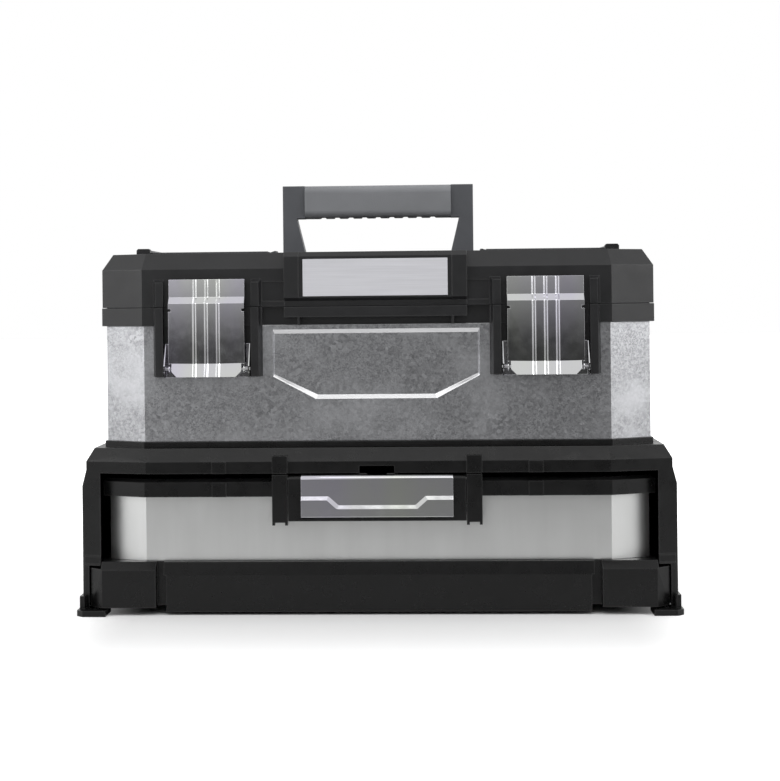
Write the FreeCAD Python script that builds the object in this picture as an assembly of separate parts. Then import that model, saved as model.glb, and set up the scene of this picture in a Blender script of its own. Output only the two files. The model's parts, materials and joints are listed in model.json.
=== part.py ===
"""Tool box with a bottom drawer: an upper box of galvanised sheet between moulded plastic rims, with a
hinged lid, a folding handle, two pressed latches and two small-parts covers, on a moulded cabinet with
a sliding drawer. Millimetres, Z up, front at -Y, origin under the middle of the part."""
import FreeCAD, Part
import math
import os

V = FreeCAD.Vector
X_AXIS = V(1, 0, 0)
Y_AXIS = V(0, 1, 0)
Z_AXIS = V(0, 0, 1)

# Shared sizes
plastic_wall = 3.0
sheet = 1.2
tongue = 2.2
tongue_height = 11.0
base_tongue_height = 7.0
move_gap = 0.4
pin_play = 0.05
over = 1.0
fastener_sides = 12

# Lower cabinet
cabinet_half_x = 270.0
cabinet_half_y = 134.0
cabinet_corner_x = 61.0
cabinet_corner_y = 16.0
neck_step = 4.0
wall_bottom = 2.0
beam_bottom = 128.0
beam_height = 10.6
taper_drop = 12.0
taper_rise = 3.0
deck_rise = 12.0
deck_slope = 7.0
pillar = 17.5
low_pillar = 6.6
slot_half_x = 15.7
slot_height = 6.4
foot_out_x = 2.8
foot_out_y = 6.0
foot_reach_x = 24.0
foot_reach_y = 24.0
foot_plate = 5.4
foot_step = 17.0
foot_step_out = 1.4
foot_corner = 6.0
marker_x = 136.2
marker_width = 13.0
marker_out = 1.5
ledge_top = 53.2
ledge_split = 46.0
ledge_chamfer = 1.4
ledge_side = 2.0
taper_z = beam_bottom - taper_drop
neck_z = beam_bottom + taper_rise
beam_top = beam_bottom + beam_height
deck_z = beam_top + deck_rise
opening_half_x = cabinet_half_x - pillar
low_opening_half_x = cabinet_half_x - low_pillar

# Drawer
drawer_side_gap = 6.3
drawer_end_gap = 12.0
drawer_corner_x = 35.5
drawer_corner_y = 16.0
drawer_floor_z = 8.0
drawer_base_top = 48.0
block_shoulder = 6.0
low_opening_gap = 2.0
rim_height = 16.2
rim_top_gap = 5.0
rim_side_gap = 1.5
rim_set_back = 3.0
rim_chamfer = 3.0
rim_rear = 4.4
base_step = 2.2
rail_z = 38.0
rail_set_back = 30.0
rail_end_gap = 6.0
skirt_margin = 52.0
skirt_bottom = 2.8
skirt_crease = 36.0
skirt_lean = 2.0
skirt_step = 2.4
block_groove = 6.8
block_depth = 26.0
block_bottom = 7.0
block_chamfer = 7.0
block_round = 12.0
drawer_half_x = opening_half_x - drawer_side_gap
drawer_half_y = cabinet_half_y - drawer_end_gap
drawer_rim_top = beam_bottom - rim_top_gap
drawer_band_top = drawer_rim_top - rim_height
block_side_top = drawer_base_top - block_shoulder
low_opening_z = block_side_top + low_opening_gap
rim_front = cabinet_half_y - rim_set_back
rail_front = -cabinet_half_y + rail_set_back
rail_rear = cabinet_half_y - cabinet_corner_y - rail_end_gap
skirt_half_x = drawer_half_x - skirt_margin
block_x = skirt_half_x + block_groove
block_side = low_opening_half_x - rim_side_gap

# Drawer paddle
paddle_half_x = 80.0
paddle_height = 37.6
paddle_out = 3.2
paddle_plate = 3.0
paddle_lip = 5.2
barrel_r = 3.2
barrel_drop = 5.2
barrel_room = 4.0
paddle_pin_r = 1.5
boss_width = 14.4
boss_height = 43.0
boss_top_gap = 1.0
beam_boss_height = 16.0
nub = 2.5
claw_x = 14.0
claw_half = 5.0
claw_tip = 2.0
claw_back = 1.0
label_margin = 11.7
label_edge = 2.5
label_sheet = 0.8
label_rise = 1.6
label_slope = 3.4
label_fold = 1.4
label_side_height = 19.9
label_middle_height = 11.9
label_step_x = 43.5
label_step_width = 9.0
paddle_front = cabinet_half_y + paddle_out
barrel_y = -cabinet_half_y
barrel_z = beam_bottom - barrel_drop
paddle_bottom = barrel_z - paddle_height
boss_top = beam_bottom - boss_top_gap
boss_bottom = boss_top - boss_height

# Upper box
body_side_step = 20.7
body_end_step = 14.0
body_corner_x = 37.8
body_corner_y = 22.0
base_rim = 5.5
band_height = 105.6
collar_step = 4.0
collar_depth = 9.0
collar_height = 16.6
split_gap = 0.4
seal_height = 4.0
seal_wall = 1.6
seal_gap = 0.6
seal_rear = 90.0
tray_ledge = 4.5
body_half_x = cabinet_half_x - body_side_step
body_half_y = cabinet_half_y - body_end_step
band_bottom = deck_z + base_rim
band_top = band_bottom + band_height
split_z = band_top + collar_height
collar_top = split_z - split_gap / 2
lid_bottom = split_z + split_gap / 2

# Latches
latch_from_side = 96.6
latch_half_x = 34.4
latch_rise = 25.4
joggle_rise = 9.2
joggle_height = 5.5
joggle_depth = 5.0
lip_drop = 50.8
lip_height = 12.1
lip_half_x = 31.5
lip_corner = 5.0
lip_out = 4.0
latch_out = 15.0
flange_drop = 4.3
flange_depth = 4.5
notch_drop = 2.5
notch = 2.4
rib_pitch = 10.6
rib_width = 3.6
rib_crest = 1.2
rib_height = 0.95
latch_pin_r = 1.5
latch_pin_depth = 3.6
latch_pin_rise = 7.3
latch_ear_r = 3.6
bracket_height = 30.8
bracket_drop = 0.7
bracket_side = 4.45
ear_out = 1.4
apron = 2.0
cheek_gap = 1.0
cheek_width = 9.8
cheek_out = 11.0
cheek_bevel = 2.6
lid_cheek_back = 3.0
cheek_rise = 22.7
cheek_slope = 3.0
rivet_r = 2.0
rivet_head_r = 3.6
rivet_head = 1.2
rivet_x = 20.0
rivet_rise = 22.3
bracket_half_x = latch_half_x + bracket_side
cheek_inner = bracket_half_x + cheek_gap
cheek_outer = cheek_inner + cheek_width
latch_x = body_half_x - latch_from_side
latch_front = body_half_y + latch_out
latch_top = split_z + latch_rise
joggle_top = split_z + joggle_rise
joggle_bottom = joggle_top - joggle_height
lip_top = split_z - lip_drop
lip_bottom = lip_top - lip_height
flange_top = split_z - flange_drop
notch_z = split_z - notch_drop
latch_pin_y = -latch_front + latch_pin_depth
latch_pin_z = lip_bottom + latch_pin_rise
bracket_bottom = lip_bottom - bracket_drop
bracket_top = bracket_bottom + bracket_height
ear_front = latch_front + ear_out
cheek_front = body_half_y + cheek_out
cheek_top = split_z + cheek_rise
rivet_z = lip_bottom + rivet_rise

# Middle of the front: block on the lid, finger ledge on the collar, sunk panel on the band
block_gap = 20.4
lid_block_out = 5.0
lid_block_drop = 4.0
lid_band = 13.4
lid_band_out = 1.2
lid_lip_rise = 7.7
lid_lip_slope = 3.0
plate_margin = 17.3
plate_rise = 9.1
plate_height = 33.6
plate_sheet = 1.0
ledge_height = 9.6
ledge_out = 4.0
ledge_rib_in = 14.0
ledge_rib = 2.0
deep_recess = 6.5
lid_recess = 1.5
lid_recess_rise = 5.0
panel_margin = 11.0
panel_drop = 4.3
panel_side = 42.6
panel_slant_x = 38.8
panel_slant_z = 20.5
panel_depth = 2.4
panel_border = 3.6
panel_edge = 1.2
lid_block_half_x = latch_x - cheek_outer - block_gap
plate_half_x = lid_block_half_x - plate_margin
plate_bottom = split_z + plate_rise
plate_top = plate_bottom + plate_height
ledge_z = split_z - ledge_height
panel_half_x = lid_block_half_x + panel_margin
panel_top = band_top - panel_drop
panel_shoulder = panel_top - panel_side
panel_bottom = panel_shoulder - panel_slant_z
panel_foot_half_x = panel_half_x - panel_slant_x

# Tote tray
tray_drop = 46.3
tray_height = 54.0
tray_play = 1.0
tray_wall = 2.0
tray_hump = 6.0
tray_slot_half_x = 45.0
tray_hump_half_x = 67.5
tray_hump_slope = 22.5
tray_slot = 17.0
tray_divider_x = 90.0
tray_bottom = band_top - tray_drop
tray_top = tray_bottom + tray_height

# Lid
lid_set_back = 0.4
lid_wall = 34.7
lid_crown = 14.6
lid_slope = 9.5
lid_half_x = body_half_x + collar_step - lid_set_back
lid_shoulder = split_z + lid_wall
lid_top = lid_shoulder + lid_crown

# Lid hinges
hinge_in = 2.0
hinge_drop = 5.3
knuckle_r = 5.0
knuckle_half = 24.0
hinge_half = 42.0
hinge_pin_r = 2.0
hinge_arm_drop = 19.0
hinge_x = latch_x - hinge_in
hinge_y = body_half_y + collar_step + knuckle_r
hinge_z = split_z - hinge_drop

# Handle
handle_side = 9.4
handle_base = 22.0
handle_arm = 13.5
handle_depth = 20.0
handle_sink = 15.6
handle_foot_r = 10.0
handle_reach = 51.0
grip_margin = 21.5
grip_height = 31.6
grip_depth = 25.0
grip_round = 7.0
core_depth = 13.0
core_height = 14.0
notch_pitch = 13.3
notch_half = 3.0
notch_slope = 1.2
notch_sink = 1.3
handle_pin_r = 3.0
recess_side_gap = 2.2
recess_front = -16.0
recess_rear = 92.0
recess_below_pivot = 15.0
tub_wall = 2.5
handle_half_x = lid_block_half_x + handle_side
handle_pivot_z = lid_top - handle_sink
grip_half_x = handle_half_x - grip_margin
grip_bottom = handle_pivot_z + handle_reach
grip_top = grip_bottom + grip_height
grip_middle = (grip_bottom + grip_top) / 2
recess_half_x = handle_half_x + recess_side_gap
recess_floor = handle_pivot_z - recess_below_pivot

# Small-parts covers in the lid
bin_from_recess = 12.0
bin_from_axis = 11.5
bin_half_y = 62.0
bin_depth = 21.6
cover_lap = 4.0
cover_plate = 2.2
cover_axis_from_side = 34.5
cover_axis_rise = 3.0
cover_barrel_r = 2.6
lug_half_x = 6.5
lug_rise = 2.9
lug_chamfer = 1.5
lug_width = 9.0
lug_from_bin = 4.0
cover_pin_r = 1.25
tab_half_y = 12.0
tab_out = 3.5
tab_rise = 4.4
bin_x0 = recess_half_x + bin_from_recess
cover_axis_x = lid_half_x - cover_axis_from_side
bin_x1 = cover_axis_x - bin_from_axis
bin_floor = lid_top - bin_depth
cover_x0 = bin_x0 - cover_lap
cover_axis_z = lid_top + cover_axis_rise
lug_y0 = bin_half_y + lug_from_bin
lug_y1 = lug_y0 + lug_width
tab_top = lid_top + tab_rise

# Screws that hold the upper box on the cabinet
screw_r = 2.5
screw_head_r = 4.5
screw_head = 2.4
screw_from_side = 78.4
screw_from_end = 50.0
screw_x = body_half_x - screw_from_side
screw_y = body_half_y - screw_from_end


class Plan:
    """Rectangle about the Z axis with its four corners cut off."""

    def __init__(self, half_x, half_y, cut_x, cut_y):
        self.half_x = half_x
        self.half_y = half_y
        self.cut_x = cut_x
        self.cut_y = cut_y

    def wire(self, z):
        quarter = [(self.half_x, self.half_y - self.cut_y), (self.half_x - self.cut_x, self.half_y)]
        points = [V(x, y, z) for x, y in quarter]
        points += [V(-x, y, z) for x, y in reversed(quarter)]
        points += [V(-x, -y, z) for x, y in quarter]
        points += [V(x, -y, z) for x, y in reversed(quarter)]
        return Part.makePolygon(points + points[:1])

    def inset(self, t):
        """The same outline moved inwards by t on every side."""
        slant = (self.cut_x ** 2 + self.cut_y ** 2) ** 0.5
        cut_x = self.cut_x - t + t * (slant - self.cut_x) / self.cut_y
        cut_y = self.cut_y - t + t * (slant - self.cut_y) / self.cut_x
        return Plan(self.half_x - t, self.half_y - t, cut_x, cut_y)

    def prism(self, z0, z1):
        return Part.Face(self.wire(z0)).extrude(V(0, 0, z1 - z0))

    def ring(self, t, z0, z1):
        """Upright wall of thickness t inside the outline."""
        return self.prism(z0, z1).cut(self.inset(t).prism(z0, z1))


def tower(levels):
    """Solid with straight sides through plans at rising heights."""
    return Part.makeLoft([plan.wire(z) for plan, z in levels], True, True)


def box(x, y, z):
    low = V(min(x), min(y), min(z))
    return Part.makeBox(max(x) - low.x, max(y) - low.y, max(z) - low.z, low)


def prism_x(profile, x0, x1):
    """Profile of (y, z) points drawn out along X."""
    points = [V(x0, y, z) for y, z in profile]
    return Part.Face(Part.makePolygon(points + points[:1])).extrude(V(x1 - x0, 0, 0))


def prism_y(profile, y0, y1):
    """Profile of (x, z) points drawn out along Y."""
    points = [V(x, y0, z) for x, z in profile]
    return Part.Face(Part.makePolygon(points + points[:1])).extrude(V(0, y1 - y0, 0))


def prism_z(profile, z0, z1):
    """Profile of (x, y) points drawn out along Z."""
    points = [V(x, y, z0) for x, y in profile]
    return Part.Face(Part.makePolygon(points + points[:1])).extrude(V(0, 0, z1 - z0))


def rod_x(r, y, z, x0, x1):
    return Part.makeCylinder(r, x1 - x0, V(x0, y, z), X_AXIS)


def rod_y(r, x, z, y0, y1):
    return Part.makeCylinder(r, y1 - y0, V(x, y0, z), Y_AXIS)


def stud(r, start, way):
    """Shank with flat sides from a start point along a vector, for small fasteners and their holes."""
    turn = FreeCAD.Rotation(Z_AXIS, way)
    points = []
    for index in range(fastener_sides):
        angle = 2 * math.pi * index / fastener_sides
        points.append(start + turn.multVec(V(r * math.cos(angle), r * math.sin(angle), 0)))
    return Part.Face(Part.makePolygon(points + points[:1])).extrude(way)


def mirrored(shape):
    return shape.mirror(V(0, 0, 0), X_AXIS)


def both(shape):
    """A shape on the right and its mirror image on the left."""
    return [shape, mirrored(shape)]


def save(name, *shapes):
    """One file for each node; several shapes stay separate solids."""
    clean = [shape.removeSplitter() for shape in shapes]
    whole = clean[0] if len(clean) == 1 else Part.makeCompound(clean)
    whole.exportStep("parts/%s.step" % name)


# Plans that several pieces share
cabinet_plan = Plan(cabinet_half_x, cabinet_half_y, cabinet_corner_x, cabinet_corner_y)
neck_corner_x = cabinet_corner_x - neck_step
neck_plan = Plan(cabinet_half_x - neck_step, cabinet_half_y, neck_corner_x,
                 cabinet_corner_y * neck_corner_x / cabinet_corner_x)
deck_plan = neck_plan.inset(deck_slope)
drawer_plan = Plan(drawer_half_x, drawer_half_y, drawer_corner_x, drawer_corner_y)
body_plan = Plan(body_half_x, body_half_y, body_corner_x, body_corner_y)
collar_plan = body_plan.inset(-collar_step)
lid_plan = collar_plan.inset(collar_plan.half_x - lid_half_x)


def cabinet_hollow():
    inner = cabinet_plan.inset(plastic_wall)
    neck = neck_plan.inset(plastic_wall)
    ceiling = deck_z - plastic_wall
    return tower([(inner, -over), (inner, taper_z), (neck, neck_z), (neck, beam_top - plastic_wall),
                  (deck_plan.inset(plastic_wall), ceiling)])


def foot():
    """Right front foot: a plate under the corner and a step up the side wall."""
    out = cabinet_half_x + foot_out_x
    inner = cabinet_half_x - foot_reach_x
    front = -cabinet_half_y - foot_out_y
    rear = -cabinet_half_y + foot_reach_y
    plate = prism_z([(inner, front), (out - foot_corner, front), (out, front + foot_corner),
                     (out, rear), (inner, rear)], 0, foot_plate)
    side = cabinet_half_x + foot_step_out
    wall = cabinet_half_x - plastic_wall
    return plate.fuse(box((wall, side), (front + 2 * foot_corner, rear), (0, foot_step)))


def beam_bosses():
    """Bosses on the beam over the paddle's ends, and the marker ribs further out."""
    boss = box((paddle_half_x + move_gap, paddle_half_x + boss_width),
               (-paddle_front, -cabinet_half_y + plastic_wall),
               (beam_bottom, beam_bottom + beam_boss_height))
    marker = box((marker_x, marker_x + marker_width),
                 (-cabinet_half_y - marker_out, -cabinet_half_y + plastic_wall), (beam_bottom, beam_top))
    return both(boss) + both(marker)


def pillar_ledge():
    """Two small ledges down the foot of the right front pillar."""
    upper = cabinet_plan.inset(-ledge_chamfer)
    lower = cabinet_plan.inset(-2 * ledge_chamfer)
    steps = tower([(lower, wall_bottom), (lower, ledge_split - ledge_chamfer), (upper, ledge_split),
                   (upper, ledge_top - ledge_chamfer), (cabinet_plan, ledge_top)])
    corner_y = -cabinet_half_y + cabinet_corner_y
    corner = box((opening_half_x, cabinet_half_x - ledge_side), (-cabinet_half_y, corner_y),
                 (wall_bottom, ledge_top))
    return steps.common(corner)


def cabinet_shell():
    shell = tower([(cabinet_plan, wall_bottom), (cabinet_plan, taper_z), (neck_plan, neck_z),
                   (neck_plan, beam_top), (deck_plan, deck_z)])
    shell = shell.fuse(both(pillar_ledge())).cut(cabinet_hollow())
    front = -cabinet_half_y - over
    reach = -cabinet_half_y + cabinet_corner_y + 2 * plastic_wall
    shell = shell.cut(box((-opening_half_x, opening_half_x), (front, reach), (-over, beam_bottom)))
    low_x = (-low_opening_half_x, low_opening_half_x)
    shell = shell.cut(box(low_x, (front, reach), (-over, low_opening_z)))
    shell = shell.fuse(beam_bosses())
    shell = shell.cut(box((-slot_half_x, slot_half_x), (front, -cabinet_half_y + plastic_wall + over),
                          (beam_bottom - over, beam_bottom + slot_height)))
    rail = box((opening_half_x, cabinet_half_x - plastic_wall), (rail_front, rail_rear),
               (rail_z - plastic_wall, rail_z))
    shell = shell.fuse(both(rail))
    feet = both(foot())
    feet += [piece.mirror(V(0, 0, 0), Y_AXIS) for piece in feet]
    return shell.fuse(feet)


def deep_tray(plan, step, z0, z1, rise):
    """Moulded floor with a rim that stands out under a sheet band, and a tongue inside the band."""
    rim = plan.inset(-step).prism(z0, z1)
    inside = plan.inset(sheet).prism(z1, z1 + rise)
    return rim.fuse(inside).cut(plan.inset(sheet + tongue).prism(z0 + plastic_wall, z1 + rise + over))


def screw_places():
    return [(x, y) for x in (-screw_x, 0, screw_x) for y in (-screw_y, screw_y)]


def body_base():
    base = deep_tray(body_plan, base_step, deck_z, band_bottom, base_tongue_height)
    for x, y in screw_places():
        base = base.cut(stud(screw_r, V(x, y, deck_z), Z_AXIS * plastic_wall))
    return base


def cabinet_with_screw_holes():
    shell = cabinet_shell()
    for x, y in screw_places():
        shell = shell.cut(stud(screw_r, V(x, y, deck_z - plastic_wall), Z_AXIS * plastic_wall))
    return shell


def base_screws():
    screws = []
    for x, y in screw_places():
        shank = stud(screw_r, V(x, y, deck_z - plastic_wall), Z_AXIS * (2 * plastic_wall))
        head = stud(screw_head_r, V(x, y, deck_z + plastic_wall), Z_AXIS * screw_head)
        screws.append(shank.fuse(head))
    return screws


def panel_wire(edge, inset, y):
    """Outline of the sunk panel on a plane at y, drawn in by edge at the sides and by inset elsewhere."""
    half = [(panel_half_x - edge, panel_top - inset), (panel_half_x - edge, panel_shoulder + inset / 2),
            (panel_foot_half_x - inset / 2, panel_bottom + inset)]
    points = [V(x, y, z) for x, z in half] + [V(-x, y, z) for x, z in reversed(half)]
    return Part.makePolygon(points + points[:1])


def panel_dish(y):
    floor = panel_wire(panel_edge, panel_border, y + panel_depth)
    return Part.makeLoft([panel_wire(0, 0, y), floor], True, True)


def rivet_studs(r, y0, y1):
    """Shanks, heads or holes of the four rivets."""
    studs = []
    for x in (latch_x - rivet_x, latch_x + rivet_x):
        studs += both(stud(r, V(x, y0, rivet_z), Y_AXIS * (y1 - y0)))
    return studs


def body_band():
    band = body_plan.ring(sheet, band_bottom, band_top)
    front = -body_half_y
    band = band.fuse(panel_dish(front + sheet)).cut(panel_dish(front))
    for hole in rivet_studs(rivet_r, front - over, front + sheet + over):
        band = band.cut(hole)
    return band


def latch_cheeks(back, front, z):
    """Posts on both sides of the right latch, each with a slanted outer side."""
    posts = []
    for side in (-1, 1):
        near = latch_x + side * cheek_inner
        far = latch_x + side * cheek_outer
        outline = [(near, back), (near, front), (far - side * cheek_bevel, front), (far, back)]
        posts.append(prism_z(outline, *z))
    return posts


def latch_apron():
    """Right latch's seat on the collar: a thin apron over the band with a cheek on each side."""
    face = -body_half_y - apron
    x = (latch_x - cheek_outer, latch_x + cheek_outer)
    plate = box(x, (-body_half_y, face), (lip_bottom, band_top))
    return [plate] + latch_cheeks(-body_half_y, -cheek_front, (lip_bottom, collar_top))


def collar_front():
    """Finger ledge in the middle of the collar, over a sunk field with two small ribs."""
    front = -collar_plan.half_y
    out = front - ledge_out
    ledge = box((-lid_block_half_x, lid_block_half_x), (front + over, out), (ledge_z, collar_top))
    rib_x = lid_block_half_x - ledge_rib_in
    rib = box((rib_x, rib_x + ledge_rib), (front + deep_recess, out + over), (band_top, ledge_z))
    return [ledge] + both(rib)


def hinge_knuckles(half_from, half_to, rise_y, rise_z):
    """Barrels of one kind on both hinges, each joined to its wall by a short arm."""
    pieces = []
    for x0, x1 in ((half_from, half_to), (-half_to, -half_from)):
        barrel = rod_x(knuckle_r, hinge_y, hinge_z, hinge_x + x0, hinge_x + x1)
        arm = box((hinge_x + x0, hinge_x + x1), (rise_y, hinge_y), rise_z)
        pieces += both(barrel.fuse(arm))
    return pieces


def hinge_bores():
    reach = hinge_half + over
    return both(rod_x(hinge_pin_r + pin_play, hinge_y, hinge_z, hinge_x - reach, hinge_x + reach))


def collar_seal():
    """Upstanding lip inside the lid's wall, along the front and the sides."""
    ring = lid_plan.inset(plastic_wall + seal_gap).ring(seal_wall, collar_top, collar_top + seal_height)
    return ring.common(box((-lid_half_x, lid_half_x), (-lid_plan.half_y, seal_rear),
                           (collar_top, collar_top + seal_height)))


def body_collar():
    collar = collar_plan.ring(collar_depth, band_top, collar_top).fuse(collar_seal())
    collar = collar.fuse(body_plan.inset(sheet).ring(tongue, band_top - tongue_height, band_top))
    ledge = collar_plan.inset(collar_depth).ring(tray_ledge, band_top, band_top + plastic_wall)
    collar = collar.fuse(ledge)
    front = -collar_plan.half_y
    pocket = box((lid_block_half_x, latch_x - cheek_outer), (front - over, front + deep_recess),
                 (band_top, collar_top))
    under_ledge = box((-lid_block_half_x, lid_block_half_x), (front - over, front + deep_recess),
                      (band_top, ledge_z))
    for piece in both(pocket) + [under_ledge]:
        collar = collar.cut(piece)
    collar = collar.fuse(collar_front())
    for piece in latch_apron():
        collar = collar.fuse(both(piece))
    swing = knuckle_r + 2 * move_gap
    for notch_cut in both(rod_x(swing, hinge_y, hinge_z, hinge_x - knuckle_half, hinge_x + knuckle_half)):
        collar = collar.cut(notch_cut)
    inside = collar_plan.half_y - collar_depth / 2
    collar = collar.fuse(hinge_knuckles(knuckle_half, hinge_half, inside, (band_top, hinge_z)))
    behind_band = -body_half_y + sheet
    panel_room = box((-panel_half_x - move_gap, panel_half_x + move_gap),
                     (behind_band, behind_band + 2 * tongue),
                     (band_top - tongue_height, panel_top + move_gap))
    collar = collar.cut(panel_room)
    holes = hinge_bores() + rivet_studs(rivet_r, -body_half_y - apron - over, behind_band + tongue + over)
    for hole in holes:
        collar = collar.cut(hole)
    return collar


def hinge_pins():
    return both(rod_x(hinge_pin_r, hinge_y, hinge_z, hinge_x - hinge_half, hinge_x + hinge_half))


def tote_tray():
    """Lift-out tray that hangs on the collar's ledge, with a carrying wall along its middle."""
    flange = collar_plan.inset(collar_depth + tray_play)
    walls = collar_plan.inset(collar_depth + tray_ledge + tray_play)
    seat_z = band_top + plastic_wall
    tray = walls.prism(tray_bottom, tray_top).fuse(flange.prism(seat_z, seat_z + tray_wall))
    tray = tray.cut(walls.inset(tray_wall).prism(tray_bottom + tray_wall, tray_top + over))
    inner_x = walls.half_x - tray_wall
    carrier = box((-inner_x, inner_x), (-tray_wall, tray_wall), (tray_bottom, tray_top))
    hump_foot = tray_hump_half_x + tray_hump_slope
    hump_top = tray_top + tray_hump
    hump = prism_y([(-hump_foot, tray_top), (hump_foot, tray_top), (tray_hump_half_x, hump_top),
                    (-tray_hump_half_x, hump_top)], -tray_wall, tray_wall)
    slot_top = tray_top - 2 * tray_wall
    slot = box((-tray_slot_half_x, tray_slot_half_x), (-2 * tray_wall, 2 * tray_wall),
               (slot_top - tray_slot, slot_top))
    tray = tray.fuse([carrier, hump]).cut(slot)
    inner_y = walls.half_y - tray_wall
    divider = box((tray_divider_x, tray_divider_x + tray_wall), (0, inner_y), (tray_bottom, slot_top))
    return tray.fuse(both(divider))


def latch_profile(out):
    """Side view of the pressed latch plate, moved outwards by out."""
    upper = -latch_front + joggle_depth - out
    lower = -latch_front - out
    tip = lower - lip_out
    outside = [(upper, latch_top), (upper, joggle_top), (lower, joggle_bottom), (lower, lip_top),
               (tip, lip_bottom)]
    inside = [(tip + sheet, lip_bottom), (lower + sheet, lip_top),
              (lower + sheet, joggle_bottom - sheet / 2), (upper + sheet, joggle_top - sheet / 2),
              (upper + sheet, latch_top)]
    return outside + inside


def latch_rib(middle):
    """Pressed rib along the latch plate: low at its sides, with a narrow crest."""
    sections = []
    for x, out in ((-rib_width / 2, 0), (-rib_crest / 2, rib_height), (rib_crest / 2, rib_height),
                   (rib_width / 2, 0)):
        points = [V(middle + x, y, z) for y, z in latch_profile(out)]
        sections.append(Part.makePolygon(points + points[:1]))
    return Part.makeLoft(sections, True, True)


def latch_flange():
    """Right side flange with the ear that turns on the pin."""
    back = -latch_front + sheet
    outer = latch_x + latch_half_x
    flange = box((outer - sheet, outer), (back - sheet / 2, back + flange_depth), (lip_top, flange_top))
    ear = rod_x(latch_ear_r, latch_pin_y, latch_pin_z, outer - sheet, outer)
    bridge = box((outer - sheet, outer), (back - sheet / 2, latch_pin_y + latch_pin_r),
                 (latch_pin_z, lip_top))
    return flange.fuse([ear, bridge])


def latch_plate():
    """Right latch: one pressing with a joggle, a finger lip, side flanges and three ribs."""
    x0 = latch_x - latch_half_x
    x1 = latch_x + latch_half_x
    plate = prism_x(latch_profile(0), x0, x1)
    upper_back = -latch_front + joggle_depth + sheet
    hook = box((x0, x1), (upper_back - sheet, upper_back + sheet), (latch_top - sheet, latch_top))
    plate = plate.fuse(hook)
    side = latch_half_x - lip_half_x
    for x, inward in ((x0, 1), (x1, -1)):
        edge = x + inward * side
        step = prism_y([(x, lip_top), (edge, lip_top), (edge, lip_bottom + lip_corner),
                        (edge + inward * lip_corner, lip_bottom), (x, lip_bottom)],
                       -latch_front - 2 * lip_out, -latch_front + 2 * sheet)
        plate = plate.cut(step)
        plate = plate.cut(box((x, x + inward * notch), (-latch_front - sheet, -latch_front + 2 * sheet),
                              (notch_z - notch / 2, notch_z + notch / 2)))
    flange = latch_flange()
    other = flange.mirror(V(latch_x, 0, 0), X_AXIS)
    plate = plate.fuse([flange, other])
    for step in (-rib_pitch, 0, rib_pitch):
        plate = plate.fuse(latch_rib(latch_x + step))
    bore = rod_x(latch_pin_r + pin_play, latch_pin_y, latch_pin_z, x0 - over, x1 + over)
    return plate.cut(bore)


def latch_bracket():
    """Right bracket: a back plate riveted to the apron, with an ear on each side for the pin."""
    seat = -body_half_y - apron
    face = seat - sheet
    x0 = latch_x - bracket_half_x
    x1 = latch_x + bracket_half_x
    bracket = box((x0, x1), (seat, face), (bracket_bottom, bracket_top))
    nose = latch_pin_z + 2 * latch_pin_r
    ear = [(seat, bracket_bottom), (seat, bracket_top), (face - sheet, bracket_top), (-ear_front, nose),
           (-ear_front, bracket_bottom + lip_corner), (-ear_front + lip_corner, bracket_bottom)]
    bracket = bracket.fuse([prism_x(ear, x0, x0 + sheet), prism_x(ear, x1 - sheet, x1)])
    bore = rod_x(latch_pin_r + pin_play, latch_pin_y, latch_pin_z, x0 - over, x1 + over)
    bracket = bracket.cut(bore)
    for hole in rivet_studs(rivet_r, face - over, seat + over):
        bracket = bracket.cut(hole)
    return bracket


def latch_pin():
    end = (bracket_half_x + cheek_inner) / 2
    return rod_x(latch_pin_r, latch_pin_y, latch_pin_z, latch_x - end, latch_x + end)


def latch_rivets():
    face = -body_half_y - apron - sheet
    shanks = rivet_studs(rivet_r, face, -body_half_y + sheet + tongue)
    heads = rivet_studs(rivet_head_r, face - rivet_head, face)
    return [shank.fuse(head) for shank, head in zip(shanks, heads)]


def lid_outside():
    return tower([(lid_plan, lid_bottom), (lid_plan, lid_shoulder), (lid_plan.inset(lid_slope), lid_top)])


def lid_inside():
    inner = lid_plan.inset(plastic_wall)
    return tower([(inner, lid_bottom - over), (inner, lid_shoulder - plastic_wall / 2),
                  (inner.inset(lid_slope), lid_top - plastic_wall)])


def lid_block(out):
    """Side view of the lid's raised block, out to a front at -out."""
    front = -lid_plan.half_y
    lip = lid_bottom + lid_lip_rise
    return [(front + plastic_wall, lid_bottom), (front - over, lid_bottom),
            (front - over, lip - lid_lip_slope), (-out, lip), (-out, lid_top - lid_block_drop),
            (-out + lid_block_drop, lid_top), (front + lid_slope + plastic_wall, lid_top),
            (front + plastic_wall, lid_shoulder)]


def lid_front():
    """Raised block behind the plate, the cheeks beside the latches and the catches under their tops."""
    front = -lid_plan.half_y
    out = lid_plan.half_y + lid_block_out
    pieces = [prism_x(lid_block(out), -lid_block_half_x, lid_block_half_x)]
    pieces += both(prism_x(lid_block(out + lid_band_out), lid_block_half_x - lid_band, lid_block_half_x))
    cheek_face = -cheek_front + lid_cheek_back
    slope = prism_x([(front + over, cheek_top + cheek_slope), (cheek_face - over, cheek_top + cheek_slope),
                     (cheek_face - over, cheek_top), (cheek_face, cheek_top)],
                    latch_x - cheek_outer, latch_x + cheek_outer)
    for post in latch_cheeks(front + over, cheek_face, (lid_bottom, cheek_top + cheek_slope)):
        pieces += both(post.cut(slope))
    catch = box((latch_x - lip_half_x, latch_x + lip_half_x),
                (front + over, -latch_front + joggle_depth + 2 * sheet + move_gap),
                (joggle_top, latch_top - 2 * sheet))
    return pieces + both(catch)


def lid_recesses():
    """Shallow sunk fields between the latch cheeks and the block."""
    front = -lid_plan.half_y
    field = box((lid_block_half_x, latch_x - cheek_outer), (front - over, front + lid_recess),
                (lid_bottom + lid_recess_rise, cheek_top))
    return both(field)


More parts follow.
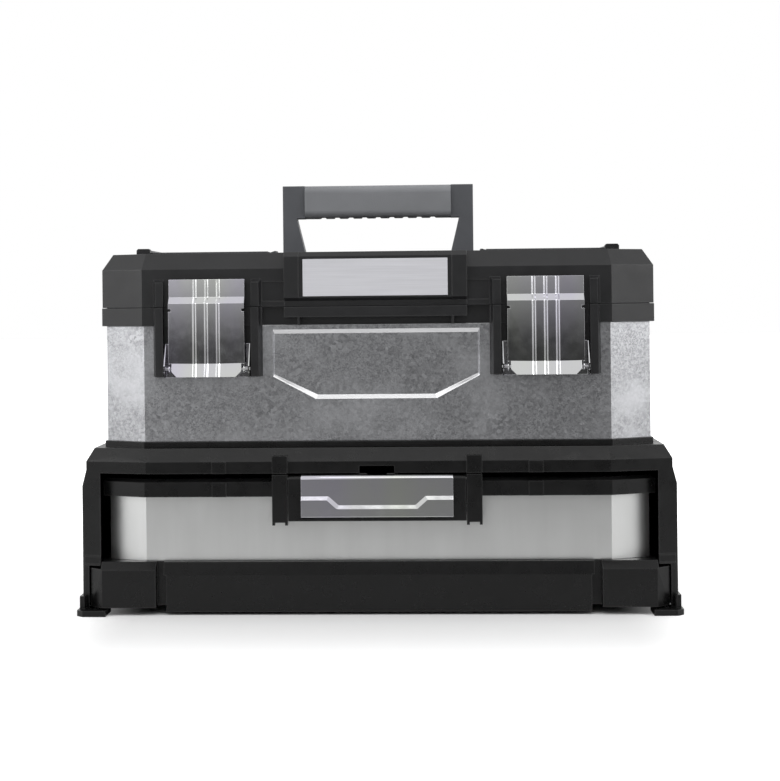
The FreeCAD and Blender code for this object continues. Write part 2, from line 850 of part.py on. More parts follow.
def tub(x, y, floor):
    """Outside of a pocket sunk in the lid's top."""
    return box((x[0] - tub_wall, x[1] + tub_wall), (y[0] - tub_wall, y[1] + tub_wall),
               (floor - tub_wall, lid_top - plastic_wall / 2))


def cover_lugs():
    """Lugs on the lid at the two ends of the right cover's hinge."""
    top = cover_axis_z + lug_rise
    half = [(lug_half_x, lid_top - plastic_wall / 2), (lug_half_x, top - lug_chamfer),
            (lug_half_x - lug_chamfer, top)]
    profile = [(cover_axis_x + x, z) for x, z in half] + [(cover_axis_x - x, z) for x, z in reversed(half)]
    return [prism_y(profile, lug_y0, lug_y1), prism_y(profile, -lug_y1, -lug_y0)]


def lid_knuckle():
    """Right hinge barrel of the lid, on an arm that comes down behind the rear wall."""
    x = (hinge_x - knuckle_half + move_gap, hinge_x + knuckle_half - move_gap)
    arm_top = lid_shoulder - hinge_arm_drop
    arm = box(x, (lid_plan.half_y - plastic_wall, hinge_y), (lid_bottom, arm_top))
    stem = box(x, (hinge_y - knuckle_r + over, hinge_y + knuckle_r), (hinge_z, arm_top))
    return rod_x(knuckle_r, hinge_y, hinge_z, *x).fuse([stem, arm])


def lid_shell():
    recess_x = (-recess_half_x, recess_half_x)
    recess_y = (recess_front, recess_rear)
    bin_x = (bin_x0, bin_x1)
    bin_y = (-bin_half_y, bin_half_y)
    lid = lid_outside().cut(lid_inside())
    for piece in lid_recesses():
        lid = lid.cut(piece)
    lid = lid.fuse(lid_front())
    lid = lid.fuse([tub(recess_x, recess_y, recess_floor)] + both(tub(bin_x, bin_y, bin_floor)))
    for piece in both(box(bin_x, bin_y, (bin_floor, lid_top + over))):
        lid = lid.cut(piece)
    lid = lid.cut(box(recess_x, recess_y, (recess_floor, lid_top + over)))
    for lug in cover_lugs():
        lid = lid.fuse(both(lug))
    lid = lid.fuse(both(lid_knuckle()))
    holes = hinge_bores()
    pin_end = recess_half_x + tub_wall + over
    holes += both(rod_x(handle_pin_r, 0, handle_pivot_z, recess_half_x - over, pin_end))
    holes += both(rod_y(cover_pin_r, cover_axis_x, cover_axis_z, -lug_y1 - over, lug_y1 + over))
    for hole in holes:
        lid = lid.cut(hole)
    return lid


def lid_plate():
    """Plain plate on the front of the lid."""
    face = -lid_plan.half_y - lid_block_out
    return box((-plate_half_x, plate_half_x), (face - plate_sheet, face), (plate_bottom, plate_top))


def handle_pins():
    inner = handle_half_x - handle_base + move_gap
    return both(rod_x(handle_pin_r, 0, handle_pivot_z, inner, recess_half_x + tub_wall))


def crossbar_core():
    return box((-grip_half_x, grip_half_x), (-core_depth / 2, core_depth / 2),
               (grip_middle - core_height / 2, grip_middle + core_height / 2))


def handle_frame():
    inner_top = handle_half_x - handle_arm
    inner_base = handle_half_x - handle_base
    outline = [(handle_half_x, handle_pivot_z), (handle_half_x, grip_top), (grip_half_x, grip_top),
               (grip_half_x, grip_bottom), (inner_top, grip_bottom), (inner_base, lid_top),
               (inner_base, handle_pivot_z)]
    arm = prism_y(outline, -handle_depth / 2, handle_depth / 2)
    arm = arm.fuse(rod_x(handle_foot_r, 0, handle_pivot_z, inner_base, handle_half_x))
    bore = rod_x(handle_pin_r + pin_play, 0, handle_pivot_z, inner_base - over, handle_half_x + over)
    arm = arm.cut(bore)
    return crossbar_core().fuse(both(arm))


def handle_grip():
    """Soft sleeve on the crossbar with finger notches along its underside."""
    grip = box((-grip_half_x, grip_half_x), (-grip_depth / 2, grip_depth / 2), (grip_bottom, grip_top))
    long_edges = [edge for edge in grip.Edges if abs(edge.tangentAt(0).x) > 0.9]
    grip = grip.makeFillet(grip_round, long_edges)
    grip = grip.cut(crossbar_core())
    gaps = int(2 * grip_half_x / notch_pitch) - 2
    for index in range(gaps + 1):
        x = (index - gaps / 2) * notch_pitch
        top = notch_half - notch_slope
        profile = [(x - notch_half, grip_bottom), (x + notch_half, grip_bottom),
                   (x + top, grip_bottom + notch_sink), (x - top, grip_bottom + notch_sink)]
        grip = grip.cut(prism_y(profile, -grip_depth, grip_depth))
    return grip


def organiser_cover():
    """Right cover of the small-parts bins: a flat plate, its hinge barrel and a finger tab."""
    reach = lug_y0 - move_gap
    low = lid_top + move_gap
    plate = box((cover_x0, cover_axis_x), (-reach, reach), (low, low + cover_plate))
    barrel = rod_y(cover_barrel_r, cover_axis_x, cover_axis_z, -reach, reach)
    tip = cover_x0 - tab_out
    root = cover_x0 + tab_out
    tab = prism_y([(tip, low), (root, low), (root, low + cover_plate), (cover_x0 - tab_out / 2, tab_top),
                   (tip, tab_top)], -tab_half_y, tab_half_y)
    bore = rod_y(cover_pin_r + pin_play, cover_axis_x, cover_axis_z, -reach - over, reach + over)
    return plate.fuse([barrel, tab]).cut(bore)


def cover_pins():
    return both(rod_y(cover_pin_r, cover_axis_x, cover_axis_z, -lug_y1, lug_y1))


def corner_block():
    """Right front corner block of the drawer's skirt, chamfered along its top."""
    front = -cabinet_half_y
    rear = front + block_depth
    outline = [(block_x, front), (block_side - block_round, front), (block_side, front + block_round),
               (block_side, rear), (block_x, rear)]
    block = prism_z(outline, block_bottom, drawer_base_top)
    edge = drawer_base_top - block_chamfer
    wedge = prism_x([(front - over, edge), (front, edge), (front + block_chamfer, drawer_base_top),
                     (front - over, drawer_base_top)], block_x - over, block_side + over)
    shoulder = box((opening_half_x - rim_side_gap, block_side), (front, rear),
                   (block_side_top, drawer_base_top))
    return block.cut(wedge).cut(shoulder)


def drawer_skirt():
    front = -rim_front
    back = -drawer_half_y
    profile = [(front, skirt_bottom), (front, skirt_crease), (front + skirt_lean, drawer_base_top),
               (back, drawer_base_top), (back, skirt_bottom)]
    skirt = prism_x(profile, -skirt_half_x, skirt_half_x)
    step = box((skirt_half_x - skirt_step, skirt_half_x), (front, back), (skirt_bottom, skirt_crease))
    for piece in both(step):
        skirt = skirt.cut(piece)
    return skirt


def drawer_base():
    base = deep_tray(drawer_plan, base_step, drawer_floor_z, drawer_base_top, tongue_height)
    runner = box((drawer_half_x, block_side), (rail_front, rail_rear),
                 (rail_z + move_gap, rail_z + move_gap + plastic_wall))
    hollow = drawer_plan.inset(sheet + tongue).prism(drawer_floor_z + plastic_wall, drawer_base_top + over)
    blocks = [piece.cut(hollow) for piece in both(corner_block())]
    return base.fuse([drawer_skirt()] + both(runner) + blocks)


def drawer_band():
    return drawer_plan.ring(sheet, drawer_base_top, drawer_band_top)


def rim_boss():
    """Right boss at the paddle's end, with two small nubs under it."""
    x0 = paddle_half_x + move_gap
    x1 = paddle_half_x + boss_width
    boss = box((x0, x1), (-paddle_front, -drawer_half_y), (boss_bottom, boss_top))
    nubs = [box((x, x + nub), (-paddle_front, -paddle_front + 2 * nub), (boss_bottom - nub, boss_bottom))
            for x in (x0, x1 - nub)]
    return boss.fuse(nubs)


def drawer_rim():
    side = opening_half_x - rim_side_gap
    cut_x = drawer_corner_x + side - drawer_half_x
    plan = Plan(side, rim_front, cut_x, drawer_corner_y * cut_x / drawer_corner_x)
    rim = tower([(plan, drawer_band_top), (plan, drawer_rim_top - rim_chamfer),
                 (plan.inset(rim_chamfer), drawer_rim_top)])
    rear = drawer_half_y + rim_rear
    rim = rim.common(box((-side, side), (-rim_front, rear), (drawer_band_top, drawer_rim_top)))
    inner = drawer_plan.inset(sheet)
    rim = rim.fuse(inner.prism(drawer_band_top - tongue_height, drawer_band_top))
    rim = rim.cut(inner.inset(tongue).prism(drawer_band_top - tongue_height, drawer_rim_top))
    pocket_back = barrel_y + barrel_r + barrel_room
    pocket_half_x = paddle_half_x + move_gap
    rim = rim.cut(box((-pocket_half_x, pocket_half_x), (-rim_front - over, pocket_back),
                      (drawer_band_top, drawer_rim_top)))
    rim = rim.fuse(both(rim_boss()))
    marker = box((marker_x, marker_x + marker_width), (-rim_front - marker_out, -rim_front + rim_chamfer),
                 (drawer_band_top, drawer_rim_top - rim_chamfer))
    rim = rim.fuse(both(marker))
    end = paddle_half_x + boss_width - nub
    return rim.cut(rod_x(paddle_pin_r, barrel_y, barrel_z, -end, end))


def paddle_pin():
    end = paddle_half_x + boss_width - nub
    return rod_x(paddle_pin_r, barrel_y, barrel_z, -end, end)


def drawer_paddle():
    """Pull paddle that hangs from its barrel, with a finger lip below and two catch claws behind."""
    x = (-paddle_half_x, paddle_half_x)
    back = -paddle_front + paddle_plate
    barrel = rod_x(barrel_r, barrel_y, barrel_z, *x)
    plate = box(x, (-paddle_front, back), (paddle_bottom, barrel_z))
    lip = box(x, (-paddle_front, -paddle_front + paddle_lip),
              (paddle_bottom, paddle_bottom + paddle_plate))
    claw_top = beam_bottom - move_gap
    heel = barrel_y + barrel_r + claw_back
    claw = prism_x([(barrel_y, barrel_z), (heel, barrel_z), (heel, claw_top), (heel - claw_tip, claw_top)],
                   claw_x - claw_half, claw_x + claw_half)
    paddle = barrel.fuse([plate, lip] + both(claw))
    reach = paddle_half_x + over
    return paddle.cut(rod_x(paddle_pin_r + pin_play, barrel_y, barrel_z, -reach, reach))


def label_wire(fold, slope, y):
    """Outline of the label's pressed lower field on a plane at y, lower by slope along its stepped top."""
    low = paddle_bottom + label_edge
    side = low + label_side_height - slope
    middle = low + label_middle_height - slope
    shift = slope / 2
    half = [(paddle_half_x - label_margin, low + fold), (paddle_half_x - label_margin, side),
            (label_step_x + shift, side), (label_step_x - label_step_width + shift, middle)]
    points = [V(x, y, z) for x, z in half] + [V(-x, y, z) for x, z in reversed(half)]
    return Part.makePolygon(points + points[:1])


def paddle_label():
    """Sheet on the paddle's face, rolled over its barrel, with a lower field pressed outwards."""
    x = (-paddle_half_x + label_margin, paddle_half_x - label_margin)
    outer = -paddle_front - label_sheet
    flat = box(x, (outer, -paddle_front), (paddle_bottom + label_edge, barrel_z))
    roll_r = paddle_front + barrel_y
    roll = rod_x(roll_r + label_sheet, barrel_y, barrel_z, *x)
    roll = roll.common(box(x, (outer - over, barrel_y), (barrel_z, beam_bottom)))
    crest = label_wire(label_fold, label_slope, outer - label_rise)
    field = Part.makeLoft([label_wire(0, 0, outer), crest], True, True)
    return flat.fuse([roll, field]).cut(rod_x(barrel_r, barrel_y, barrel_z, *x))


def build():
    os.makedirs("parts", exist_ok=True)
    save("cabinet_shell", cabinet_with_screw_holes())
    save("body_base", body_base())
    save("base_screws", *base_screws())
    save("body_band", body_band())
    save("body_collar", body_collar())
    save("hinge_pins", *hinge_pins())
    save("tote_tray", tote_tray())
    save("latch_rivets", *latch_rivets())
    for side, placed in (("right", lambda shape: shape), ("left", mirrored)):
        save("latch_bracket_" + side, placed(latch_bracket()))
        save("latch_pin_" + side, placed(latch_pin()))
        save("latch_plate_" + side, placed(latch_plate()))
        save("organiser_cover_" + side, placed(organiser_cover()))
    save("lid_shell", lid_shell())
    save("lid_plate", lid_plate())
    save("handle_pins", *handle_pins())
    save("cover_pins", *cover_pins())
    save("handle_frame", handle_frame())
    save("handle_grip", handle_grip())
    save("drawer_base", drawer_base())
    save("drawer_band", drawer_band())
    save("drawer_rim", drawer_rim())
    save("paddle_pin", paddle_pin())
    save("drawer_paddle", drawer_paddle())
    save("paddle_label", paddle_label())


build()
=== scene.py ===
"""Looks for the tool box with a bottom drawer: materials, rounded edges, soft studio light and the camera.
Metres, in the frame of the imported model: Z up, front at -Y."""
import json
import math

import bpy
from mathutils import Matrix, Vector


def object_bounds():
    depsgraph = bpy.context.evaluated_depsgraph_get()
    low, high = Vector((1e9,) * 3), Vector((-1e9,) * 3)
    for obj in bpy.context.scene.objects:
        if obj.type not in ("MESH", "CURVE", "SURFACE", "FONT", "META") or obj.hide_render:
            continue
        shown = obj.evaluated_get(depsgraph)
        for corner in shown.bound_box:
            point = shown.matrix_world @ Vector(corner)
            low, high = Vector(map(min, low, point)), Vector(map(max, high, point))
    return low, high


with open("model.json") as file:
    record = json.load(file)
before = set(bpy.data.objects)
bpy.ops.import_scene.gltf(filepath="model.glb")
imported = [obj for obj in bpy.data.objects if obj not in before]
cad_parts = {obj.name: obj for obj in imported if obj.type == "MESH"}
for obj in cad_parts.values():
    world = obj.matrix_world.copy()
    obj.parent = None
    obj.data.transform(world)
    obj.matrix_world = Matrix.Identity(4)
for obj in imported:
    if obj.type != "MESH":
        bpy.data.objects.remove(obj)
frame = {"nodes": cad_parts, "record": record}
nodes = frame["nodes"]
cad_low, cad_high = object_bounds()

# Picture frame and camera, as the photograph shows them
picture_width = 780
picture_height = 781
sensor = 36.0
metres_per_pixel = 0.000895
eye_distance = 1.6
eye_x = 0.045
eye_z = 0.283
axis_pixel_x = 425.2
axis_pixel_y = 300.8
yaw = math.radians(2.6)
roll = math.radians(0.58)

# Light levels
white = (1.0, 1.0, 1.0, 1.0)
black = (0.0, 0.0, 0.0, 1.0)
world_white = 1.0
world_fill = 0.44
top_watts = 30.0
side_watts = 20.0
front_watts = 8.0

# Floor: its paper, its glow for the camera, and where the glow fades out round the object
floor_reach = 12.0
floor_paper = (0.82, 0.82, 0.82, 1.0)
floor_glow = 0.90
shade_full_x = cad_high.x - 0.06
shade_end_x = cad_high.x + 0.08
shade_full_y = 0.20
shade_end_y = 0.62

# Glowing card that the fronts reflect, a painted reflection: its reach, and its glow level on the floor,
# low down and high up
card_left = -0.74
card_right = 1.45
card_low = 0.002
card_high = 1.30
card_near_y = cad_low.y - 0.50
card_far_y = cad_low.y - eye_distance - 0.5
card_dark_below = 0.20
card_pale_above = 0.36
card_floor_level = 0.22
card_dark_level = 0.05
card_pale_level = 0.62
card_bend = 0.05

# The card's glow, a painted reflection, is brighter towards its left, between these two places
card_left_gain = 1.35
card_right_gain = 0.65
card_gain_from_x = -0.6
card_gain_to_x = 0.5

# Edge rounding of the moulded and pressed pieces
mould_round = 0.0005
sheet_round = 0.0003
weld_distance = 0.00001
sharp_angle = math.radians(25)

# How much paler the plastic edges are, partly rubbed wear and partly painted highlight, and how wide
edge_wear_and_highlight_pale = 0.025
edge_wear_and_highlight_width = 0.0018


class Shader:
    """One material's node tree, with short ways to add nodes and join them."""

    def __init__(self, name):
        self.material = bpy.data.materials.new(name)
        self.material.use_nodes = True
        self.tree = self.material.node_tree
        self.surface = self.tree.nodes["Principled BSDF"]
        self.place = self.add("ShaderNodeTexCoord").outputs["Object"]

    def add(self, kind, settings=None, **values):
        """A new node, with its settings and the values of its sockets."""
        node = self.tree.nodes.new(kind)
        for key, value in (settings or {}).items():
            setattr(node, key, value)
        for key, value in values.items():
            node.inputs[key].default_value = value
        return node

    def set(self, name, value):
        """A constant value on the surface's own socket."""
        self.surface.inputs[name].default_value = value

    def join(self, output, target):
        self.tree.links.new(output, target)

    def math(self, operation, first, second=None):
        """One or two numbers joined by a plain operation."""
        node = self.add("ShaderNodeMath", {"operation": operation})
        self.join(first, node.inputs[0])
        if second is not None:
            self.join(second, node.inputs[1])
        return node.outputs["Value"]

    def noise(self, scale, detail=3.0, stretch=None):
        """Cloudy noise, with stretch for streaks along an axis."""
        node = self.add("ShaderNodeTexNoise", Scale=scale, Detail=detail)
        source = self.place
        if stretch:
            mapping = self.add("ShaderNodeMapping", Scale=stretch)
            self.join(source, mapping.inputs["Vector"])
            source = mapping.outputs["Vector"]
        self.join(source, node.inputs["Vector"])
        return node.outputs["Fac"]

    def spread(self, value, low, high, from_low=0.3, from_high=0.7, ramp="LINEAR"):
        """A value brought from one range of numbers to another; the default range is that of noise."""
        node = self.add("ShaderNodeMapRange", {"interpolation_type": ramp})
        node.inputs["From Min"].default_value = from_low
        node.inputs["From Max"].default_value = from_high
        node.inputs["To Min"].default_value = low
        node.inputs["To Max"].default_value = high
        self.join(value, node.inputs["Value"])
        return node.outputs["Result"]

    def blend(self, value, first, second):
        """A colour between two, by a value from 0 to 1; either may be another node's output."""
        node = self.add("ShaderNodeMix", {"data_type": "RGBA"})
        self.join(value, node.inputs["Factor"])
        for source, name in ((first, "A"), (second, "B")):
            socket = [item for item in node.inputs if item.name == name and item.type == "RGBA"][0]
            if isinstance(source, tuple):
                socket.default_value = source + (1.0,)
            else:
                self.join(source, socket)
        return [item for item in node.outputs if item.type == "RGBA"][0]

    def bump(self, height, strength, distance):
        node = self.add("ShaderNodeBump", Strength=strength, Distance=distance)
        self.join(height, node.inputs["Height"])
        return node.outputs["Normal"]

    def crystals(self, scale, wander):
        """Random colour of each crystal in a pattern with ragged borders, split in its channels."""
        wobble = self.add("ShaderNodeTexNoise", Scale=scale / 2, Detail=3.0)
        self.join(self.place, wobble.inputs["Vector"])
        ragged = self.add("ShaderNodeVectorMath", {"operation": "MULTIPLY_ADD"})
        ragged.inputs[1].default_value = (wander, wander, wander)
        self.join(wobble.outputs["Color"], ragged.inputs[0])
        self.join(self.place, ragged.inputs[2])
        cells = self.add("ShaderNodeTexVoronoi", Scale=scale)
        self.join(ragged.outputs["Vector"], cells.inputs["Vector"])
        channels = self.add("ShaderNodeSeparateColor")
        self.join(cells.outputs["Color"], channels.inputs["Color"])
        return channels.outputs

    def leaning_faces_highlight_mask(self):
        """Mask that is 1 on faces that lean up or down, such as the borders of a pressed panel, where a
        painted highlight goes.
        """
        lean = self.add("ShaderNodeSeparateXYZ")
        self.join(self.add("ShaderNodeTexCoord").outputs["Normal"], lean.inputs["Vector"])
        steep = self.math("ABSOLUTE", lean.outputs["Z"])
        return self.spread(steep, 0.0, 1.0, from_low=0.15, from_high=0.4)

    def edges(self, radius):
        """Mask that is 1 along sharp edges, for paler corners: rubbed wear and painted edge highlight on
        the plastic, dust on the rubber.
        """
        rounded = self.add("ShaderNodeBevel", {"samples": 4}, Radius=radius)
        geometry = self.add("ShaderNodeNewGeometry")
        dot = self.add("ShaderNodeVectorMath", {"operation": "DOT_PRODUCT"})
        self.join(rounded.outputs["Normal"], dot.inputs[0])
        self.join(geometry.outputs["Normal"], dot.inputs[1])
        return self.spread(dot.outputs["Value"], 1.0, 0.0, from_low=0.75, from_high=0.985)

    def finish(self, colour=None, roughness=None, normal=None):
        """Joins what is given to the surface, and gives back the material."""
        for source, name in ((colour, "Base Color"), (roughness, "Roughness"), (normal, "Normal")):
            if source is not None:
                self.join(source, self.surface.inputs[name])
        return self.material


def scaled(colour, factor):
    return tuple(channel * factor for channel in colour)


def moulded_plastic(name, colour, roughness, shine=0.5):
    """Moulded plastic with a fine grain, faint clouding and paler edges, partly rubbed wear and partly
    painted highlight.
    """
    shader = Shader(name)
    cloud = shader.spread(shader.noise(scale=30.0), 0.0, 1.0)
    tone = shader.blend(cloud, scaled(colour, 0.86), scaled(colour, 1.14))
    worn_and_highlit_edge = tuple(channel + edge_wear_and_highlight_pale for channel in colour)
    # Paler edges: partly rubbed wear, partly a painted highlight along the edges.
    tone = shader.blend(shader.edges(edge_wear_and_highlight_width), tone, worn_and_highlit_edge)
    rough = shader.spread(shader.noise(scale=70.0), roughness - 0.06, roughness + 0.06)
    grain = shader.noise(scale=1400.0, detail=2.0)
    shader.set("Specular IOR Level", shine)
    return shader.finish(tone, rough, shader.bump(grain, strength=0.25, distance=0.0002))


def galvanised_sheet(name, colour, painted_highlight_colour):
    """Hot-dip zinc: crystal flecks of two sizes, paler blooms, and a painted highlight on faces that lean
    up or down, such as pressed borders.
    """
    shader = Shader(name)
    coarse = shader.crystals(scale=400.0, wander=0.004)
    fine = shader.crystals(scale=900.0, wander=0.002)
    grain = shader.blend(fine["Red"], scaled(colour, 0.66), scaled(colour, 1.42))
    fleck = shader.blend(coarse["Red"], scaled(colour, 0.70), scaled(colour, 1.38))
    cloud = shader.spread(shader.noise(scale=26.0, detail=6.0), 0.0, 1.0)
    tone = shader.blend(cloud, grain, fleck)
    patches = shader.noise(scale=22.0, detail=8.0)
    bloom = shader.spread(patches, 0.0, 0.75, from_low=0.46, from_high=0.70)
    tone = shader.blend(bloom, tone, scaled(colour, 1.50))
    # Painted highlight: faces that lean up or down are painted pale, standing in for the light they catch.
    tone = shader.blend(shader.leaning_faces_highlight_mask(), tone, painted_highlight_colour)
    rough = shader.spread(coarse["Green"], 0.30, 0.37, from_low=0.0, from_high=1.0)
    waves = shader.noise(scale=60.0, detail=1.0)
    shader.set("Metallic", 1.0)
    return shader.finish(tone, rough, shader.bump(waves, strength=0.03, distance=0.0004))


def smooth_zinc(name, colour, roughness):
    """Plain zinc sheet or steel with faint rolling streaks and clouding."""
    shader = Shader(name)
    streaks = shader.spread(shader.noise(scale=9.0, detail=4.0, stretch=(6.0, 6.0, 0.6)), 0.0, 1.0)
    tone = shader.blend(streaks, scaled(colour, 0.96), scaled(colour, 1.04))
    rough = shader.spread(shader.noise(scale=60.0), roughness - 0.02, roughness + 0.02)
    waves = shader.noise(scale=40.0, detail=1.0)
    shader.set("Metallic", 1.0)
    return shader.finish(tone, rough, shader.bump(waves, strength=0.02, distance=0.0004))


def bright_zinc(name, colour, roughness):
    """Bright zinc plate with the faint violet and straw tints of its passivation."""
    shader = Shader(name)
    cloud = shader.spread(shader.noise(scale=26.0, detail=2.0, stretch=(1.0, 1.0, 0.4)), 0.0, 1.0)
    red, green, blue = colour
    violet = (red * 0.97, green * 0.93, blue * 1.03)
    straw = (red * 1.02, green * 1.03, blue * 0.95)
    tone = shader.blend(cloud, violet, straw)
    rough = shader.spread(shader.noise(scale=120.0), roughness - 0.03, roughness + 0.03)
    waves = shader.noise(scale=60.0, detail=2.0)
    shader.set("Metallic", 1.0)
    return shader.finish(tone, rough, shader.bump(waves, strength=0.015, distance=0.0006))


def soft_rubber(name, colour):
    """Soft overmoulded sleeve: matt, finely pitted and a little dusty along its edges."""
    shader = Shader(name)
    cloud = shader.spread(shader.noise(scale=40.0), 0.0, 1.0)
    tone = shader.blend(cloud, scaled(colour, 0.92), scaled(colour, 1.08))
    tone = shader.blend(shader.edges(0.0015), tone, scaled(colour, 1.25))
    rough = shader.spread(shader.noise(scale=80.0), 0.62, 0.78)
    pits = shader.noise(scale=1100.0, detail=2.0)
    shader.set("Sheen Weight", 0.1)
    return shader.finish(tone, rough, shader.bump(pits, strength=0.3, distance=0.0003))


def satin_sheet(name, colour, roughness, metallic):
    """Satin aluminium with fine brushing along X."""
    shader = Shader(name)
    brush = shader.noise(scale=160.0, detail=3.0, stretch=(0.12, 1.0, 6.0))
    tone = shader.blend(shader.spread(brush, 0.0, 1.0), scaled(colour, 0.95), scaled(colour, 1.05))
    rough = shader.spread(brush, roughness - 0.05, roughness + 0.05)
    shader.set("Metallic", metallic)
    return shader.finish(tone, rough, shader.bump(brush, strength=0.05, distance=0.0002))


def make_materials():
    """Every finish on the part, by the name of its slot in the record, and blackened pins."""
    return {
        "cabinet_plastic": moulded_plastic("cabinet_plastic", (0.0040, 0.0040, 0.0041), 0.30, shine=0.26),
        "lid_plastic": moulded_plastic("lid_plastic", (0.0095, 0.0096, 0.0104), 0.38, shine=0.40),
        "handle_plastic": moulded_plastic("handle_plastic", (0.072, 0.075, 0.083), 0.50),
        "cover_plastic": moulded_plastic("cover_plastic", (0.050, 0.051, 0.055), 0.45),
        "tray_plastic": moulded_plastic("tray_plastic", (0.028, 0.028, 0.030), 0.50),
        "grip_rubber": soft_rubber("grip_rubber", (0.175, 0.180, 0.190)),
        # The last colour given to the zinc sheet is a painted highlight for its sloped faces.
        "galvanised": galvanised_sheet("galvanised", (0.335, 0.338, 0.350), painted_highlight_colour=(0.72, 0.72, 0.73)),
        "drawer_zinc": smooth_zinc("drawer_zinc", (0.55, 0.555, 0.55), 0.36),
        "latch_zinc": bright_zinc("latch_zinc", (0.58, 0.59, 0.60), 0.09),
        "plate_aluminium": satin_sheet("plate_aluminium", (0.57, 0.57, 0.60), 0.42, metallic=0.25),
        "pin_steel": smooth_zinc("pin_steel", (0.45, 0.45, 0.46), 0.35),
        "pin_blackened": smooth_zinc("pin_blackened", (0.045, 0.045, 0.047), 0.45),
    }


def dress_nodes(materials):
    """Gives every CAD node its finish and rounds its sharp edges."""
    pressed = ("galvanised", "drawer_zinc", "latch_zinc", "plate_aluminium", "pin_steel")
    for entry in frame["record"]["subparts"]:
        node = nodes[entry["node"]]
        slot = entry["material_slot"]
        finish = "pin_blackened" if entry["node"] == "cover_pins" else slot
        node.data.materials.clear()
        node.data.materials.append(materials[finish])
        weld = node.modifiers.new("weld", "WELD")
        weld.merge_threshold = weld_distance
        bevel = node.modifiers.new("round", "BEVEL")
        bevel.width = sheet_round if slot in pressed else mould_round
        bevel.segments = 2
        bevel.limit_method = "ANGLE"
        bevel.angle_limit = sharp_angle
        bevel.harden_normals = True


def add_mesh(name, corners, faces):
    """A new object in the scene, with its mesh given by corners and faces."""
    mesh = bpy.data.meshes.new(name)
    mesh.from_pydata(corners, [], faces)
    thing = bpy.data.objects.new(name, mesh)
    bpy.context.scene.collection.objects.link(thing)
    return thing


def floor_paper_material():
    """Pale paper that glows for the camera, but not near the object, so that its shadow shows."""
    shader = Shader("floor_paper")
    shader.set("Base Color", floor_paper)
    shader.set("Specular IOR Level", 0.2)
    shader.set("Emission Color", white)
    side = shader.add("ShaderNodeVectorMath", {"operation": "ABSOLUTE"})
    shader.join(shader.place, side.inputs[0])
    away = shader.add("ShaderNodeSeparateXYZ")
    shader.join(side.outputs["Vector"], away.inputs["Vector"])
    shade_x = shader.spread(away.outputs["X"], 1.0, 0.0, shade_full_x, shade_end_x, "SMOOTHSTEP")
    shade_y = shader.spread(away.outputs["Y"], 1.0, 0.0, shade_full_y, shade_end_y, "SMOOTHSTEP")
    shade = shader.math("MULTIPLY", shade_x, shade_y)
    level = shader.spread(shade, floor_glow, 0.0, from_low=0.0, from_high=1.0)
    seen = shader.add("ShaderNodeLightPath").outputs["Is Camera Ray"]
    glow = shader.math("MULTIPLY", level, seen)
    shader.join(glow, shader.surface.inputs["Emission Strength"])
    fibre = shader.spread(shader.noise(scale=400.0), 0.55, 0.7)
    return shader.finish(roughness=fibre)


def add_floor():
    reach = floor_reach
    corners = [(-reach, -reach, 0), (reach, -reach, 0), (reach, reach, 0), (-reach, reach, 0)]
    floor = add_mesh("floor", corners, [(0, 1, 2, 3)])
    floor.data.materials.append(floor_paper_material())


def add_world():
    """White all round for the camera and for reflections, softer for the light that it gives."""
    world = bpy.data.worlds.new("studio")
    bpy.context.scene.world = world
    world.use_nodes = True
    tree = world.node_tree
    background = tree.nodes["Background"]
    background.inputs["Color"].default_value = white
    path = tree.nodes.new("ShaderNodeLightPath")
    seen = path.outputs["Is Camera Ray"]
    for name in ("Is Glossy Ray", "Is Transmission Ray"):
        either = tree.nodes.new("ShaderNodeMath")
        either.operation = "MAXIMUM"
        tree.links.new(seen, either.inputs[0])
        tree.links.new(path.outputs[name], either.inputs[1])
        seen = either.outputs["Value"]
    level = tree.nodes.new("ShaderNodeMapRange")
    level.inputs["To Min"].default_value = world_fill
    level.inputs["To Max"].default_value = world_white
    tree.links.new(seen, level.inputs["Value"])
    tree.links.new(level.outputs["Result"], background.inputs["Strength"])


def add_softbox(name, target, place, size, watts):
    """A rectangular lamp that faces the target."""
    data = bpy.data.lights.new(name, "AREA")
    data.shape = "RECTANGLE"
    data.size = size[0]
    data.size_y = size[1]
    data.energy = watts
    lamp = bpy.data.objects.new(name, data)
    bpy.context.scene.collection.objects.link(lamp)
    lamp.location = place
    lamp.rotation_euler = (Vector(target) - Vector(place)).to_track_quat("-Z", "Y").to_euler()
    return lamp


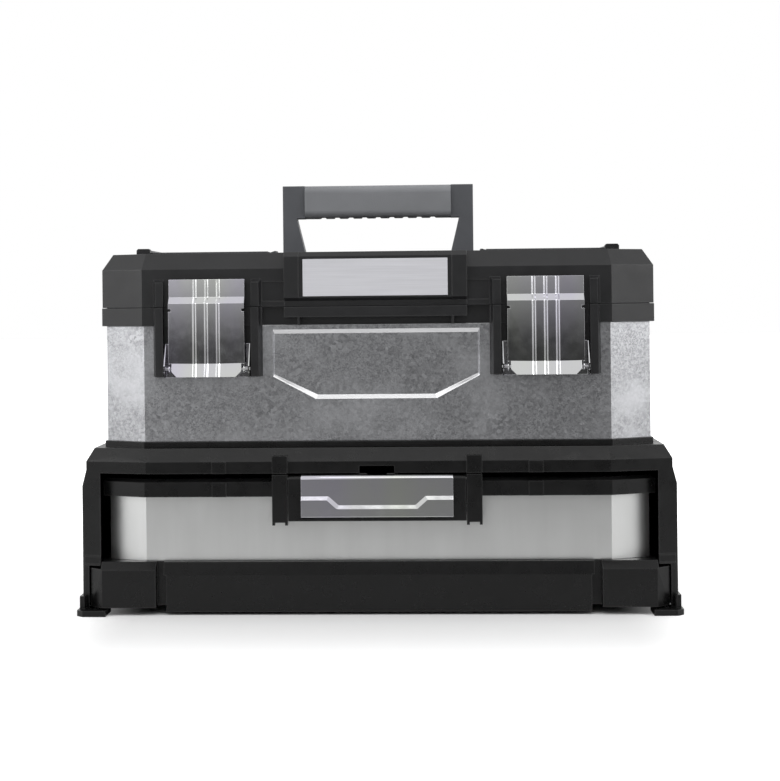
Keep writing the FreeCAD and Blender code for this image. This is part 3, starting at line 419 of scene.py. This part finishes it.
def reflection_card_glow_material():
    """Glowing card seen only in reflections, a painted reflection: its glow is dark low down and pale high
    up, and a little brighter towards the left.
    """
    shader = Shader("reflection_card_glow")
    shader.set("Base Color", black)
    shader.set("Emission Color", white)
    place = shader.add("ShaderNodeSeparateXYZ")
    shader.join(shader.place, place.inputs["Vector"])
    rise = shader.spread(place.outputs["Z"], card_dark_level, card_pale_level,
                         from_low=card_dark_below, from_high=card_pale_above)
    lying = shader.spread(place.outputs["Y"], 0.0, card_floor_level,
                          from_low=card_far_y, from_high=card_far_y + card_bend)
    level = shader.math("MAXIMUM", rise, lying)
    fade = shader.spread(place.outputs["X"], card_left_gain, card_right_gain,
                         from_low=card_gain_from_x, from_high=card_gain_to_x)
    glow = shader.math("MULTIPLY", level, fade)
    # Painted reflection: the card's glow, which only glossy rays see.
    shader.join(glow, shader.surface.inputs["Emission Strength"])
    weave = shader.spread(shader.noise(scale=50.0), 0.8, 0.95)
    return shader.finish(roughness=weave)


def add_flag():
    """Card on the floor ahead and up behind the camera, which only reflections show."""
    corners = [(card_left, card_near_y, card_low), (card_right, card_near_y, card_low),
               (card_right, card_far_y, card_low), (card_left, card_far_y, card_low),
               (card_right, card_far_y, card_high), (card_left, card_far_y, card_high)]
    flag = add_mesh("flag", corners, [(0, 1, 2, 3), (3, 2, 4, 5)])
    flag.data.materials.append(reflection_card_glow_material())
    flag.visible_camera = False
    flag.visible_diffuse = False
    flag.visible_shadow = False


def add_lights():
    middle = (0.0, 0.0, 0.2)
    top = add_softbox("softbox_top", middle, place=(0.0, -0.2, 2.4), size=(3.2, 2.4), watts=top_watts)
    top.visible_glossy = False
    add_softbox("softbox_front", middle, place=(0.0, -1.75, 2.05), size=(2.6, 0.5), watts=front_watts)
    for name, side in (("softbox_left", -2.0), ("softbox_right", 2.0)):
        add_softbox(name, middle, place=(side, -1.0, 1.1), size=(1.2, 1.6), watts=side_watts)


def add_camera():
    """Camera at the photograph's place, with the shift that its framing needs."""
    data = bpy.data.cameras.new("camera")
    data.sensor_width = sensor
    longest = max(picture_width, picture_height)
    focal_pixels = eye_distance / metres_per_pixel
    data.lens = focal_pixels * sensor / longest
    data.shift_x = (picture_width / 2 - axis_pixel_x + focal_pixels * math.tan(yaw)) / longest
    data.shift_y = (axis_pixel_y - picture_height / 2) / longest
    data.clip_start = 0.05
    data.clip_end = 60.0
    camera = bpy.data.objects.new("camera", data)
    bpy.context.scene.collection.objects.link(camera)
    camera.location = (eye_x, cad_low.y - eye_distance, eye_z)
    camera.rotation_euler = (math.radians(90), roll, yaw)
    bpy.context.scene.camera = camera


bpy.context.scene.view_settings.view_transform = "Standard"
dress_nodes(make_materials())
add_floor()
add_world()
add_flag()
add_lights()
add_camera()
